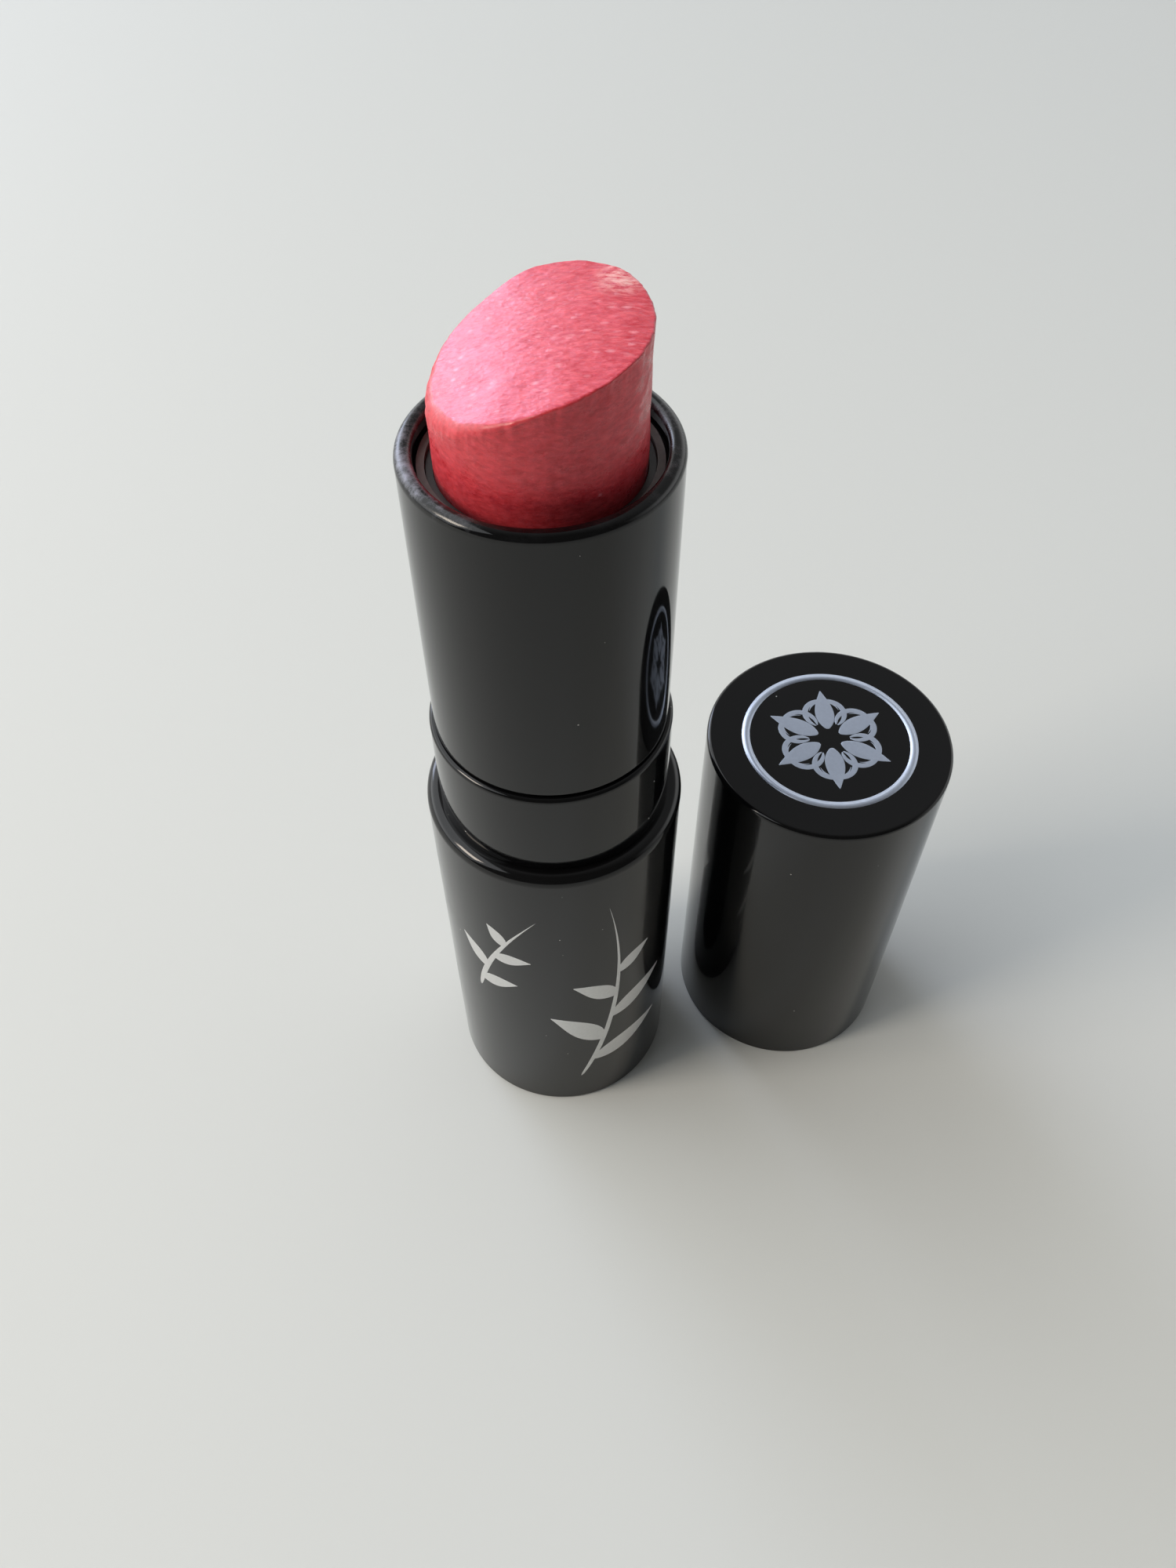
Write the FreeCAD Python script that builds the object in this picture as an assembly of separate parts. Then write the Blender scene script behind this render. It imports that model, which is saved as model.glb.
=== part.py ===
"""A twist-up lipstick case: a stepped case holding a wax bullet, and its pull-off cap.

Millimetres, +Z up. The origin is the centre of the base's underside. The case stands on the
table with its bullet wound up, and the cap stands beside it on its open mouth.

How it works: the fork is fixed in the base and has two straight slots. The cup that holds the
wax slides in the fork, and its two lugs stand out through the slots into two helical grooves
in the spiral sleeve. The sleeve is pressed into the tube, so that turning the tube against the
base drives the lugs up or down the grooves, and the cup cannot turn with it.
"""
import FreeCAD, Part
import math
import os

V = FreeCAD.Vector
UP = V(0, 0, 1)
CENTRE = V(0, 0, 0)
MOST_OF_WALL = 0.85

# --- Radial sizes, from the wax outwards -------------------------------------------------
bullet_radius = 6.05        # the common 12.1 mm lipstick bullet
cup_wall = 0.40
running_gap = 0.05          # between pieces that slide or turn on each other
fork_wall = 0.45
spiral_wall = 0.60
tube_wall = 0.53
brake_gap = 0.03            # between the brake ring and the sleeve it rubs
brake_thick = 0.60          # section of that silicone ring
brake_room = 0.02           # round the ring, in its groove in the collar
groove_cover = 0.20         # what that groove leaves of the collar's wall
grip_gap = 0.05             # between the collar and the cap's liner
liner_wall = 0.40
cap_wall = 0.60
skirt_step = 0.35           # the collar's skirt is narrower, so its shoulder sits on the rim
insert_wall = 0.70          # of the base insert, round that skirt
pocket_wall = 1.40          # of the base insert, round the weight

cup_radius = bullet_radius + cup_wall
fork_bore = cup_radius + running_gap
fork_radius = fork_bore + fork_wall
spiral_bore = fork_radius + running_gap
spiral_radius = spiral_bore + spiral_wall
tube_radius = spiral_radius + tube_wall
collar_bore = spiral_radius + running_gap
brake_middle = spiral_radius + brake_gap + brake_thick / 2
brake_groove = brake_middle + brake_thick / 2 + brake_room
collar_radius = brake_groove + groove_cover
grip_bore = collar_radius + grip_gap
liner_radius = grip_bore + liner_wall
case_radius = liner_radius + cap_wall       # the base and the cap are flush when closed
skirt_radius = collar_radius - skirt_step
insert_radius = skirt_radius + insert_wall
weight_radius = insert_radius - pocket_wall

groove_floor = 0.25         # what the winding grooves leave of the spiral sleeve's wall
lug_end_gap = 0.10          # between the lugs and the floor of their grooves
groove_radius = spiral_radius - groove_floor
lug_tip = groove_radius - lug_end_gap

# --- Heights of what shows ---------------------------------------------------------------
base_height = 36.7          # underside to the rim that the cap sits on
rim_thick = 1.2             # the rim turned in round the collar
collar_stand = 7.9          # collar above the rim
foot_gap = 0.12             # under the turning tube
tube_length = 21.7
lip_thick = 1.2             # the lip turned in at the tube's mouth
lip_clearance = 0.15        # round the fork's mouth
lip_crest = 0.6             # share of the lip's width that its outer rounding may take

rim_top = base_height
collar_top = rim_top + collar_stand
tube_foot = collar_top + foot_gap
lip_top = tube_foot + tube_length
lip_bore = fork_radius + lip_clearance

# --- Roundings ---------------------------------------------------------------------------
rim_round = 0.87
base_foot_round = 0.25
collar_round = 0.32         # the collar's shoulder
lip_outer_round = 0.52
lip_inner_round = 0.35
cap_top_round = 0.35
cap_mouth_round = 0.15

# --- The winding mechanism ---------------------------------------------------------------
travel = 27.0               # of the cup, from wound down to wound up
wound_back = 1.0            # how far the cup stands below its top stop
screw_pitch = 20.0          # rise of the cup for one turn of the tube
cup_height = 12.0
cup_floor = 0.8
cup_below_lip = 0.4         # the cup's rim below the lip, at its top stop
lug_radius = 0.85
lug_height = 1.3            # of the lugs' centre above the cup's underside
lug_play = 0.08             # round each lug, in its groove and its slot
spiral_end = 1.1            # plain sleeve below the grooves
end_play = 0.10             # of the sleeve, along the axis
fork_below_lip = 1.1
bead_height = 0.6           # of the snap bead that keeps the sleeve down
bead_reach = 0.35
rib_count = 4               # ribs in the cup that hold the wax
rib_width = 0.6
rib_reach = 0.35
rib_height = 6.0

cup_rim = lip_top - cup_below_lip - wound_back
cup_bottom = cup_rim - cup_height
lug_z = cup_bottom + lug_height
lug_high = lug_z + wound_back
lug_low = lug_high - travel
slot_low = lug_low - lug_radius - lug_play
slot_high = lug_high + lug_radius + lug_play
spiral_bottom = slot_low - spiral_end
fork_top = lip_top - fork_below_lip
bead_top = lip_top - lip_thick - end_play
bead_bottom = bead_top - bead_height
spiral_top = bead_bottom - end_play

# --- The wax -----------------------------------------------------------------------------
wax_stand = 7.72            # middle of the slanted face above the cup's rim
face_slope = 19.6           # degrees, uphill toward +X
face_tilt = 3.6             # degrees, uphill toward +Y
face_radius = 21.0          # the face is rounded along its slope by wear

# --- Inside the base ---------------------------------------------------------------------
collar_depth = 5.0          # collar's skirt below the rim
fork_socket = 4.0           # depth of the fork's seat in the insert
web_thick = 1.2             # of the insert, under the fork
weight_height = 10.0
weight_bevel = 0.5
plate_thick = 1.6           # of the bottom plate, flush with the sleeve's edge
plate_edge = 0.15           # bevel that shows the seam round the plate
key_count = 4               # keys that stop the fork from turning in its seat
key_width = 1.0
key_reach = 0.5
brake_below_top = 3.0       # of the brake ring's middle, below the collar's top

insert_step = spiral_bottom - end_play
fork_foot = insert_step - fork_socket
web_bottom = fork_foot - web_thick
collar_foot = rim_top - collar_depth
brake_z = collar_top - brake_below_top

# --- The cap, standing beside the case ---------------------------------------------------
cap_end = 1.2
liner_end = 0.6
cap_headroom = 3.88         # over the tube's lip when the cap is on
liner_inset = 0.3           # of the liner's mouth, inside the cap's
cap_gap = 2.77              # between the cap and the base as they stand
cap_heading = 10.16         # degrees from +X, of the cap as seen from the base

cap_height = lip_top - rim_top + cap_headroom + liner_end + cap_end
cap_distance = 2 * case_radius + cap_gap
CAP_PLACE = V(cap_distance * math.cos(math.radians(cap_heading)),
              cap_distance * math.sin(math.radians(cap_heading)), 0)


def turned(outline):
    """A turned piece: a closed outline of (radius, height) points carried once round Z."""
    points = [V(radius, 0, height) for radius, height in outline]
    face = Part.Face(Part.makePolygon(points + points[:1]))
    return face.revolve(CENTRE, UP, 360)


def ring(inner, outer, bottom, top):
    """A plain ring between two radii and two heights."""
    return turned([(inner, bottom), (outer, bottom), (outer, top), (inner, top)])


def rounded(shape, size, wall, radius, height):
    """The shape with the circular edge at one radius and height rounded off.

    The rounding takes no more than most of the wall that it is on.
    """
    def matches(edge):
        curve = edge.Curve
        if not isinstance(curve, Part.Circle):
            return False
        return abs(curve.Radius - radius) < 1e-4 and abs(curve.Center.z - height) < 1e-4
    edges = [edge for edge in shape.Edges if matches(edge)]
    return shape.makeFillet(min(size, MOST_OF_WALL * wall), edges)


def around(shape, count):
    """Copies of a shape, evenly spaced round Z, as a list."""
    copies = []
    for i in range(count):
        copy = shape.copy()
        copy.rotate(CENTRE, UP, 360.0 * i / count)
        copies.append(copy)
    return copies


def upright_bar(inner, outer, width, bottom, top):
    """A straight bar along +X between two radii, of one width and between two heights."""
    return Part.makeBox(outer - inner, width, top - bottom, V(inner, -width / 2, bottom))


# --- Base group: what stands on the table ------------------------------------------------
def make_base_shell():
    """The outer sleeve of the base, open below, with a rim turned in round the collar."""
    shell = turned([
        (insert_radius, 0),
        (case_radius, 0),
        (case_radius, rim_top),
        (skirt_radius, rim_top),
        (skirt_radius, rim_top - rim_thick),
        (insert_radius, rim_top - rim_thick),
    ])
    shell = rounded(shell, rim_round, case_radius - collar_radius, case_radius, rim_top)
    return rounded(shell, base_foot_round, case_radius - insert_radius, case_radius, 0)


def fork_keys():
    """The keys on the fork's foot, which fill matching slots in the insert's seat."""
    key = upright_bar(fork_bore + fork_wall / 2, fork_radius + key_reach, key_width,
                      fork_foot, insert_step)
    return around(key, key_count)


def make_base_insert():
    """The moulding that fills the base: it seats the collar, the fork and the weight."""
    insert = turned([
        (0, web_bottom),
        (weight_radius, web_bottom),
        (weight_radius, plate_thick),
        (insert_radius, plate_thick),
        (insert_radius, rim_top - rim_thick),
        (skirt_radius, rim_top - rim_thick),
        (skirt_radius, collar_foot),
        (collar_bore, collar_foot),
        (collar_bore, insert_step),
        (fork_radius, insert_step),
        (fork_radius, fork_foot),
        (0, fork_foot),
    ])
    return insert.cut(fork_keys())


def make_base_weight():
    """The steel slug pressed into the insert from below, up to its web."""
    slug = Part.makeCylinder(weight_radius, weight_height, V(0, 0, web_bottom - weight_height))
    ends = [edge for edge in slug.Edges if isinstance(edge.Curve, Part.Circle)]
    return slug.makeChamfer(weight_bevel, ends)


def make_bottom_plate():
    """The disc that closes the base, flush with the sleeve and bevelled at the seam."""
    return turned([
        (0, 0),
        (insert_radius - plate_edge, 0),
        (insert_radius, plate_edge),
        (insert_radius, plate_thick),
        (0, plate_thick),
    ])


def make_collar():
    """The cap's seat: a ring with a rounded shoulder and a groove inside for the brake ring."""
    groove_half = brake_groove - brake_middle
    ring = turned([
        (collar_bore, collar_foot),
        (skirt_radius, collar_foot),
        (skirt_radius, rim_top),
        (collar_radius, rim_top),
        (collar_radius, collar_top),
        (collar_bore, collar_top),
        (collar_bore, brake_z + groove_half),
        (brake_groove, brake_z + groove_half),
        (brake_groove, brake_z - groove_half),
        (collar_bore, brake_z - groove_half),
    ])
    return rounded(ring, collar_round, collar_radius - collar_bore, collar_radius, collar_top)


def make_brake_ring():
    """The silicone ring in the collar, which rubs on the sleeve and gives the twist its drag."""
    return Part.makeTorus(brake_middle, brake_thick / 2, V(0, 0, brake_z))


def make_inner_fork():
    """The slotted tube keyed into the insert, with the snap bead that keeps the sleeve down."""
    fork = turned([
        (fork_bore, fork_foot),
        (fork_radius, fork_foot),
        (fork_radius, bead_bottom),
        (fork_radius + bead_reach, bead_bottom),
        (fork_radius, bead_top),
        (fork_radius, fork_top),
        (fork_bore, fork_top),
    ])
    slot_width = 2 * (lug_radius + lug_play)
    slot = upright_bar(cup_radius / 2, spiral_bore, slot_width, slot_low, slot_high)
    keys = [key.cut(Part.makeCylinder(fork_bore, fork_top)) for key in fork_keys()]
    return fork.fuse(keys).cut(around(slot, 2))


# --- Tube group: what the fingers turn ---------------------------------------------------
def make_tube_shell():
    """The tube above the collar, with its rounded lip turned in over the mechanism."""
    shell = turned([
        (spiral_radius, tube_foot),
        (tube_radius, tube_foot),
        (tube_radius, lip_top),
        (lip_bore, lip_top),
        (lip_bore, lip_top - lip_thick),
        (spiral_radius, lip_top - lip_thick),
    ])
    lip_width = tube_radius - lip_bore
    shell = rounded(shell, lip_outer_round, lip_crest * lip_width, tube_radius, lip_top)
    return rounded(shell, lip_inner_round, (1 - lip_crest) * lip_width, lip_bore, lip_top)


def make_spiral_sleeve():
    """The driving sleeve: two right-handed grooves inside it follow the lugs as it turns.

    At rest the lugs lie at 0 and 180 degrees. A point of a groove at angle a past a lug lies
    a / 360 of the pitch above it. Each groove runs on past both stops by the lug's own size.
    """
    sleeve = ring(spiral_bore, spiral_radius, spiral_bottom, spiral_top)
    lead = math.atan(screw_pitch / (2 * math.pi * spiral_bore))
    overrun = math.degrees((lug_radius + lug_play) / spiral_bore)
    first_angle = -360.0 * (travel - wound_back) / screw_pitch - overrun
    last_angle = 360.0 * wound_back / screw_pitch + overrun
    first_height = lug_z + screw_pitch * first_angle / 360.0
    rise = screw_pitch * (last_angle - first_angle) / 360.0
    half_width = (lug_radius + lug_play) / math.cos(lead)
    inner = spiral_bore - running_gap
    corners = [V(inner, 0, -half_width), V(groove_radius, 0, -half_width),
               V(groove_radius, 0, half_width), V(inner, 0, half_width)]
    section = Part.makePolygon(corners + corners[:1])
    path = Part.Wire(Part.makeHelix(screw_pitch, rise, spiral_bore))
    groove = path.makePipeShell([section], True, True)
    groove.rotate(CENTRE, UP, first_angle)
    groove.translate(V(0, 0, first_height))
    return sleeve.cut(around(groove, 2))


# --- Carriage: what rises ----------------------------------------------------------------
def make_bullet_cup():
    """The cup that holds the wax, with ribs inside and a lug on each side near its foot."""
    cup = turned([
        (0, cup_bottom),
        (cup_radius, cup_bottom),
        (cup_radius, cup_rim),
        (bullet_radius, cup_rim),
        (bullet_radius, cup_bottom + cup_floor),
        (0, cup_bottom + cup_floor),
    ])
    rib = upright_bar(bullet_radius - rib_reach, bullet_radius + cup_wall / 2, rib_width,
                      cup_bottom + cup_floor / 2, cup_bottom + cup_floor + rib_height)
    lug_start = bullet_radius + cup_wall / 4
    lug = Part.makeCylinder(lug_radius, lug_tip - lug_start, V(lug_start, 0, lug_z), V(1, 0, 0))
    return cup.fuse(around(rib, rib_count) + around(lug, 2))


def make_lipstick_bullet(cup):
    """The wax: a round bar moulded into the cup, with a slanted face rounded by use.

    The face is part of a cylinder lying along Y, with its +Y end raised by face_tilt. It is
    placed so that the face has the stated slope in the middle. What stands above the cup's rim
    and outside that cylinder is worn away.
    """
    middle = cup_rim + wax_stand
    foot = cup_bottom + cup_floor
    top = middle + 2 * bullet_radius
    bar = Part.makeCylinder(bullet_radius, top - foot, V(0, 0, foot))
    slope = math.radians(face_slope)
    tilt = math.radians(face_tilt)
    along = V(0, math.cos(tilt), math.sin(tilt))
    axis_point = V(face_radius * math.sin(slope), 0, middle - face_radius * math.cos(slope))
    reach = 4 * bullet_radius
    dome = Part.makeCylinder(face_radius, 2 * reach, axis_point - along * reach, along)
    worn = Part.makeCylinder(2 * bullet_radius, top - cup_rim, V(0, 0, cup_rim))
    return bar.cut(worn.cut(dome)).cut(cup)


# --- Cap ---------------------------------------------------------------------------------
def make_cap_shell():
    """The outer shell of the cap, closed above and open below."""
    shell = turned([
        (liner_radius, 0),
        (case_radius, 0),
        (case_radius, cap_height),
        (0, cap_height),
        (0, cap_height - cap_end),
        (liner_radius, cap_height - cap_end),
    ])
    shell = rounded(shell, cap_top_round, cap_end, case_radius, cap_height)
    return rounded(shell, cap_mouth_round, cap_wall, case_radius, 0)


def make_cap_liner():
    """The liner pressed into the cap: a sleeve with a closed end, whose mouth grips the collar."""
    top = cap_height - cap_end
    return turned([
        (grip_bore, liner_inset),
        (liner_radius, liner_inset),
        (liner_radius, top),
        (0, top),
        (0, top - liner_end),
        (grip_bore, top - liner_end),
    ])


def build():
    """Make every piece in its place and write it to parts/."""
    cup = make_bullet_cup()
    pieces = {
        "base_shell": make_base_shell(),
        "base_insert": make_base_insert(),
        "base_weight": make_base_weight(),
        "bottom_plate": make_bottom_plate(),
        "collar": make_collar(),
        "brake_ring": make_brake_ring(),
        "inner_fork": make_inner_fork(),
        "tube_shell": make_tube_shell(),
        "spiral_sleeve": make_spiral_sleeve(),
        "bullet_cup": cup,
        "lipstick_bullet": make_lipstick_bullet(cup),
        "cap_shell": make_cap_shell(),
        "cap_liner": make_cap_liner(),
    }
    os.makedirs("parts", exist_ok=True)
    for name, shape in pieces.items():
        if name.startswith("cap_"):
            shape.translate(CAP_PLACE)
        solids = len(shape.Solids)
        box = shape.BoundBox
        print("%-16s solids %d  valid %s  volume %.1f  z %.2f to %.2f"
              % (name, solids, shape.isValid(), shape.Volume, box.ZMin, box.ZMax))
        shape.exportStep("parts/%s.step" % name)


build()
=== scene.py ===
# %% [markdown]
# # A twist-up lipstick case with its cap taken off
# The solids come from a CAD model that is already packed: thirteen pieces on four bodies. This
# lesson dresses them. The case is gloss black, so its looks come from clean, finely divided
# curves that carry reflections without facets. The wax is soft and worn, so its looks come from
# an uneven surface. Each step makes one piece or one finish.
#
# Loading the frame comes first, because every place and size below is read from it.

# %% Load the fixed frame
import math

import bmesh
import bpy
import numpy as np
from mathutils import Matrix, Vector


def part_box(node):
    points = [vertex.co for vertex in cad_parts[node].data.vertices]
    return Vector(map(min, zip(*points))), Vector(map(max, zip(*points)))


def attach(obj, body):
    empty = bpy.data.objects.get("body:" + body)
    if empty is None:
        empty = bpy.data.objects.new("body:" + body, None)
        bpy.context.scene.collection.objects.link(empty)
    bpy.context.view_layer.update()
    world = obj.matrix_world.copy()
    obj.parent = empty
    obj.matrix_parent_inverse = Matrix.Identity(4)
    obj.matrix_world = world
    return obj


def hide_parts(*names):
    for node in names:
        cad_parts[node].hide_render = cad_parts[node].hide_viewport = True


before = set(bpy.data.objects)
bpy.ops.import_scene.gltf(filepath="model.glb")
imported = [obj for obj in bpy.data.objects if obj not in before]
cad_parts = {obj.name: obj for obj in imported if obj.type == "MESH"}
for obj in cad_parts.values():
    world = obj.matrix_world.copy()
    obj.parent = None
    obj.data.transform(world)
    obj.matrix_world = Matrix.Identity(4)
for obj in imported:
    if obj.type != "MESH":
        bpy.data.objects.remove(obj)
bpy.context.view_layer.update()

# %% [markdown]
# ## Sizes
# All lengths are worked out in millimetres, because that is how a case is drawn, and turned to
# metres when a mesh is made. The radii and heights that show are the corners of the CAD boxes,
# so the pieces below fit the mechanism without any adjusting.

# %% Sizes read from the CAD boxes, in millimetres
MM = 0.001


def extent(node):
    """Lowest and highest corner of a CAD node, in millimetres."""
    low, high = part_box(node)
    return np.array(low) / MM, np.array(high) / MM


def radius_of(node):
    """Half the width of a round CAD node."""
    low, high = extent(node)
    return (high[0] - low[0]) / 2


case_r = radius_of("base_shell")
rim_z = extent("base_shell")[1][2]
collar_r = radius_of("collar")
collar_foot_z, collar_z = (corner[2] for corner in extent("collar"))
tube_r = radius_of("tube_shell")
tube_foot_z, lip_z = (corner[2] for corner in extent("tube_shell"))
sleeve_r = radius_of("spiral_sleeve")
plate_r = radius_of("bottom_plate")
cap_r = radius_of("cap_shell")
cap_z = extent("cap_shell")[1][2]
cap_middle = sum(extent("cap_shell")) / 2
liner_r = radius_of("cap_liner")
liner_z = extent("cap_liner")[1][2]
print(f"case r {case_r:.2f}, rim {rim_z:.2f}, collar r {collar_r:.2f} to {collar_z:.2f}, "
      f"tube r {tube_r:.2f} to {lip_z:.2f}, cap {cap_z:.2f} high at {cap_middle[:2].round(2)}")

# %% [markdown]
# ## The camera
# A hand holds it above and in front of the case, close enough for strong perspective: it looks
# 52 degrees down through a wide lens. It is made first, so that each later piece can be judged
# as it is seen. Its turn is written as three small rotations rather than a target, which keeps
# the slight roll of a hand.

# %% Place the camera
CAMERA_PLACE = (0.000709, -0.055588, 0.107052)
LOOK_DOWN, LOOK_RIGHT, ROLL = (math.radians(a) for a in (52.138, 1.873, 0.285))
SENSOR_WIDTH, FOCAL_LENGTH = 36.0, 27.66     # mm
NEAREST = 0.005                              # metres: what is closer isn't drawn

camera_data = bpy.data.cameras.new("camera")
camera_data.sensor_width = SENSOR_WIDTH
camera_data.lens = FOCAL_LENGTH
camera_data.clip_start = NEAREST
camera = bpy.data.objects.new("camera", camera_data)
bpy.context.scene.collection.objects.link(camera)
turn = (Matrix.Rotation(-LOOK_RIGHT, 4, "Z")
        @ Matrix.Rotation(math.pi / 2 - LOOK_DOWN, 4, "X")
        @ Matrix.Rotation(-ROLL, 4, "Z"))
camera.matrix_world = Matrix.Translation(CAMERA_PLACE) @ turn
bpy.context.scene.camera = camera
print("camera looks along", (camera.matrix_world.to_3x3() @ Vector((0, 0, -1)))[:])

# %% [markdown]
# ## Surfaces from arrays
# Every new shape is a grid of points worked out at once, as whole arrays: a profile carried
# round an axis, or a surface of two parameters. Spinning a curve with a modifier would do for
# the turned pieces, but not for the wax or the leaves, and one way for all is easier to follow.
# The grid repeats its first column as its last and has all of a row on a pole, and welding
# joins those points, which closes the seam and the poles.

# %% Turn grids of points into closed meshes
WELD = 2e-8              # metres: far below any detail


def piece_from(name, grids):
    """One smooth mesh object from grids of points, each of shape (rows, columns, 3), in mm.

    Each cell of a grid is one quad. Points that coincide are welded, and the faces are then
    turned outwards.
    """
    starts = np.cumsum([0] + [grid.shape[0] * grid.shape[1] for grid in grids])
    quads = []
    for grid, start in zip(grids, starts):
        index = start + np.arange(grid.shape[0] * grid.shape[1]).reshape(grid.shape[:2])
        around = (index[:-1, :-1], index[:-1, 1:], index[1:, 1:], index[1:, :-1])
        quads.append(np.stack(around, axis=-1).reshape(-1, 4))
    quads = np.concatenate(quads)
    points = np.concatenate([grid.reshape(-1, 3) for grid in grids]) * MM

    mesh = bpy.data.meshes.new(name)
    mesh.vertices.add(len(points))
    mesh.vertices.foreach_set("co", points.ravel())
    mesh.loops.add(quads.size)
    mesh.loops.foreach_set("vertex_index", quads.ravel())
    mesh.polygons.add(len(quads))
    mesh.polygons.foreach_set("loop_start", np.arange(0, quads.size, 4))
    mesh.update(calc_edges=True)

    built = bmesh.new()
    built.from_mesh(mesh)
    bmesh.ops.remove_doubles(built, verts=built.verts, dist=WELD)
    bmesh.ops.recalc_face_normals(built, faces=built.faces)
    open_edges = sum(len(edge.link_faces) != 2 for edge in built.edges)
    volume = built.calc_volume() / MM ** 3
    built.to_mesh(mesh)
    built.free()
    mesh.polygons.foreach_set("use_smooth", np.ones(len(mesh.polygons), bool))
    mesh.update()
    print(f"{name}: {len(mesh.polygons)} faces, {open_edges} open edges, {volume:.2f} mm3")
    made = bpy.data.objects.new(name, mesh)
    bpy.context.scene.collection.objects.link(made)
    return made

# %% [markdown]
# ## Turned profiles
# The case, the collar, the tube and the cap are moulded and turned shells. Their edges are never
# sharp: each has a small rounding, and the highlight that runs along it is most of what the eye
# sees of a black piece. A Bevel modifier could round them, but its loops would follow the CAD
# facets, so the profile itself is drawn with arcs.

# %% Draw a profile with rounded corners
ARC_STEPS = 10
HOLD = 0.04              # mm: distance of the loop that keeps a straight wall straight
WALL_STEP = 1.5          # mm between loops on a long wall
SMALL_EDGE = 0.05        # mm: rounding of an edge that is given none of its own
TURN_STEPS = 256


def profile(corners, closed=True):
    """Points (radius, height) along an outline of corners (radius, height, rounding).

    A corner that leaves its rounding out gets SMALL_EDGE.
    At each corner an arc that touches both sides replaces the point: its ends lie
    rounding / tan(half the angle) back along the sides, and the points between come from
    turning one end into the other about the arc's centre. Straight runs get extra points near
    their ends, so that smooth shading doesn't bend them. An open outline keeps its two ends.
    """
    place = np.array([corner[:2] for corner in corners], float)
    rounding = [corner[2] if len(corner) > 2 else SMALL_EDGE for corner in corners]
    count = len(place)
    arcs = []
    for i in range(count):
        if not closed and i in (0, count - 1):
            arcs.append(place[i:i + 1])
            continue
        back = place[i - 1] - place[i]
        ahead = place[(i + 1) % count] - place[i]
        back /= np.linalg.norm(back)
        ahead /= np.linalg.norm(ahead)
        half = math.acos(np.clip(back @ ahead, -1, 1)) / 2
        cut = rounding[i] / math.tan(half)
        inward = (back + ahead) / np.linalg.norm(back + ahead)
        middle = place[i] + inward * rounding[i] / math.sin(half)
        first = place[i] + back * cut - middle
        last = place[i] + ahead * cut - middle
        sweep = math.pi - 2 * half
        t = np.linspace(0, 1, ARC_STEPS + 1)[:, None]
        arcs.append(middle + (first * np.sin((1 - t) * sweep) + last * np.sin(t * sweep))
                    / math.sin(sweep))
    points = []
    for i in range(count if closed else count - 1):
        start, end = arcs[i][-1], arcs[(i + 1) % count][0]
        run = np.linalg.norm(end - start)
        hold = min(HOLD, run / 4)
        along = np.linspace(hold, run - hold, 2 + int(run / WALL_STEP)) / run
        points += [arcs[i], start + (end - start) * along[:, None]]
    points.append(arcs[0][:1] if closed else arcs[-1])
    return np.concatenate(points)


def turned(outline, middle=(0.0, 0.0)):
    """A profile carried once round an upright axis.

    The point at height z and angle a is (middle x + r cos a, middle y + r sin a, z).
    """
    angle = np.linspace(0, 2 * math.pi, TURN_STEPS + 1)
    r, z = outline[:, :1], outline[:, 1:]
    return np.stack([middle[0] + r * np.cos(angle), middle[1] + r * np.sin(angle),
                     z + 0 * angle], axis=-1)

# %% [markdown]
# ## Nodes and colours
# Colours are picked as sRGB hex values, as on a paint chart, and Blender computes in linear
# light, so one function turns one into the other. One more function adds a shader node and fills
# or links its sockets: a socket given a number keeps it, and a socket given another node's
# output is linked to it.

# %% Colours and shader nodes
def linear(colour):
    """Linear RGBA of an sRGB hex colour: (v + 0.055) / 1.055 to the power 2.4, or v / 12.92."""
    value = np.array([int(colour[i:i + 2], 16) for i in (1, 3, 5)]) / 255
    value = np.where(value <= 0.04045, value / 12.92, ((value + 0.055) / 1.055) ** 2.4)
    return (*value.tolist(), 1.0)


def add(tree, kind, settings=(), sockets=()):
    """A node of one kind, with its settings and its input sockets, by name or number."""
    made = tree.nodes.new(kind)
    for name, value in dict(settings).items():
        setattr(made, name, value)
    for name, value in dict(sockets).items():
        if isinstance(value, bpy.types.NodeSocket):
            tree.links.new(value, made.inputs[name])
        else:
            made.inputs[name].default_value = value
    return made


def new_material(name):
    """A material with a Principled shader: the material, its tree, the shader and its place."""
    made = bpy.data.materials.new(name)
    made.use_nodes = True
    tree = made.node_tree
    shader = next(n for n in tree.nodes if n.type == "BSDF_PRINCIPLED")
    place = add(tree, "ShaderNodeTexCoord").outputs["Object"]
    return made, tree, shader, place


def per_metre(size):
    """Texture scale at which one feature measures this many millimetres."""
    return 1 / (size * MM)


print("gloss black is", [round(v, 4) for v in linear("#0b0b0c")])

# %% [markdown]
# ## Gloss black ABS
# The base and the cap are injection moulded in ABS against a polished steel mould, so they are
# smooth and dark and reflect like lacquer. That gives the eye almost no colour of its own: what
# shows is the pale table, faint where it is met head on and strong at the edges. Handling leaves
# a thin film that dulls the gloss in soft patches, and a few specks of dust. The specks are
# cells of a Voronoi pattern cut off close to their middles, and only a few of the cells pass.

# %% Moulded ABS, gloss black
def dust_specks(tree, place, spacing, size, share):
    """A mask that is 1 on sparse dust specks: near the middle of a random share of cells."""
    cells = add(tree, "ShaderNodeTexVoronoi", {"feature": "F1"},
                {"Vector": place, "Scale": per_metre(spacing), "Randomness": 1.0})
    near = add(tree, "ShaderNodeMath", {"operation": "LESS_THAN"},
               {0: cells.outputs["Distance"], 1: size / spacing})
    lot = add(tree, "ShaderNodeSeparateColor", {}, {"Color": cells.outputs["Color"]})
    drawn = add(tree, "ShaderNodeMath", {"operation": "LESS_THAN"},
                {0: lot.outputs["Red"], 1: share})
    return add(tree, "ShaderNodeMath", {"operation": "MULTIPLY"},
               {0: near.outputs[0], 1: drawn.outputs[0]}).outputs[0]


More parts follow.
